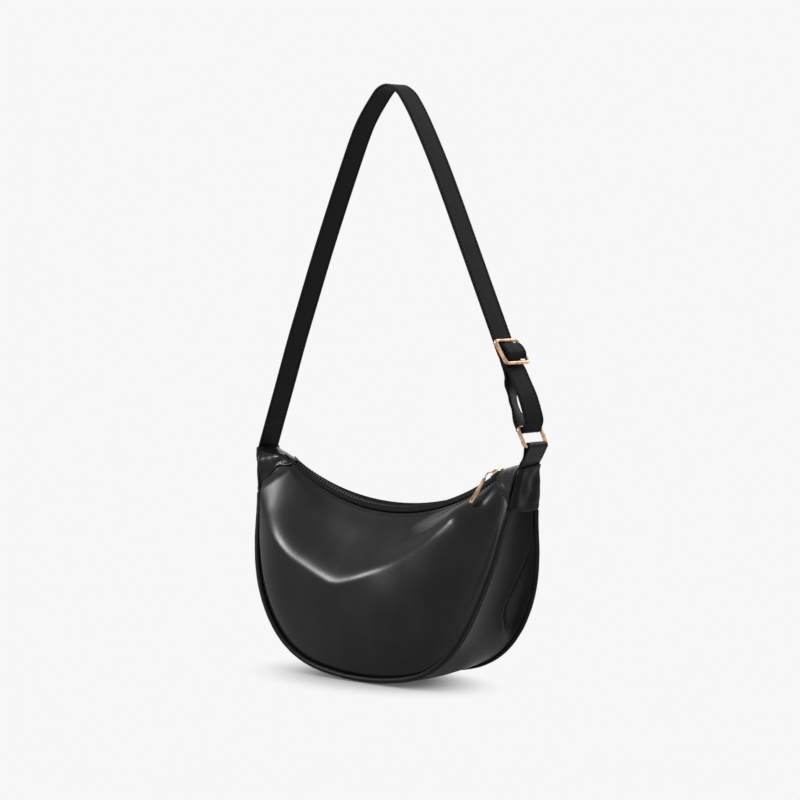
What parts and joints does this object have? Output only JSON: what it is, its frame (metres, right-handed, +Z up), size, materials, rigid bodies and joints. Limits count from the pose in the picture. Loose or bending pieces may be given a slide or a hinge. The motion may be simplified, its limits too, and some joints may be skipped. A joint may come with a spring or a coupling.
{
  "type": "leather shoulder bag",
  "caption": "Half moon leather shoulder bag with piped seams, a curved zipped mouth and an adjustable flat strap on a ring",
  "frame": {"origin": "on the floor under the middle of the bag, in the middle of the flat of its base", "axes": "+X along the bag's width towards the ring and the adjuster, -Y out of its front, +Z up"},
  "size_m": [0.3076, 0.1043, 0.5112],
  "materials": {
    "body_leather": "smooth black leather with a soft sheen",
    "piping_leather": "black leather over a round cord",
    "strap_leather": "matte black leather with edge stitching",
    "lining_fabric": "woven dark lining",
    "zip_fabric": "black ribbed zip tape",
    "zip_plastic": "black zip teeth",
    "gold_metal": "polished pale rose gold plating"
  },
  "bodies": {
    "root": {"front_panel": "body_leather", "back_panel": "body_leather", "gusset": "body_leather", "corner_saddle_left": "body_leather", "corner_saddle_right": "body_leather", "side_cap_left": "body_leather", "side_cap_right": "body_leather", "ring_tab": "body_leather", "piping_front": "piping_leather", "piping_back": "piping_leather", "lining_front": "lining_fabric", "lining_back": "lining_fabric", "lining_gusset": "lining_fabric", "zip_tape_front": "zip_fabric", "zip_tape_back": "zip_fabric", "zip_teeth_front": "zip_plastic", "zip_teeth_back": "zip_plastic", "zip_stop_left": "gold_metal", "zip_stop_right": "gold_metal", "strap_root": "strap_leather"},
    "slider": {"zip_slider": "gold_metal"},
    "pull": {"zip_pull": "gold_metal"},
    "strap": {"strap_foot": "strap_leather", "strap": "strap_leather", "strap_loop": "strap_leather"},
    "ring": {"strap_ring": "gold_metal"},
    "adjuster": {"strap_adjuster": "gold_metal", "strap_weave": "strap_leather", "strap_return": "strap_leather"}
  },
  "joints": [
    {"name": "zip_run", "type": "hinge", "parent": "root", "child": "slider", "pos_m": [0, 0, 0.3532], "axis": [0, 1, 0], "range_deg": [0, 64.1]},
    {"name": "pull_turn", "type": "hinge", "parent": "slider", "child": "pull", "pos_m": [0.11148, 0, 0.18596], "axis": [-0.8321, 0, -0.5547], "range_deg": [0, 150]},
    {"name": "strap_swing", "type": "hinge", "parent": "root", "child": "strap", "pos_m": [-0.1472, 0, 0.1933], "axis": [0.9986, 0, 0.0527], "range_deg": [-80, 80], "deforming": ["strap_foot", "ring_tab"]},
    {"name": "ring_turn", "type": "hinge", "parent": "strap", "child": "ring", "pos_m": [0.1541, 0, 0.2092], "axis": [0, 1, 0], "range_deg": [-15, 15], "deforming": ["strap_loop", "ring_tab"]},
    {"name": "adjuster_slide", "type": "slide", "parent": "strap", "child": "adjuster", "axis": [-0.4139, 0, 0.9103], "range_m": [0, 0.1], "deforming": ["strap_return"]}
  ]
}
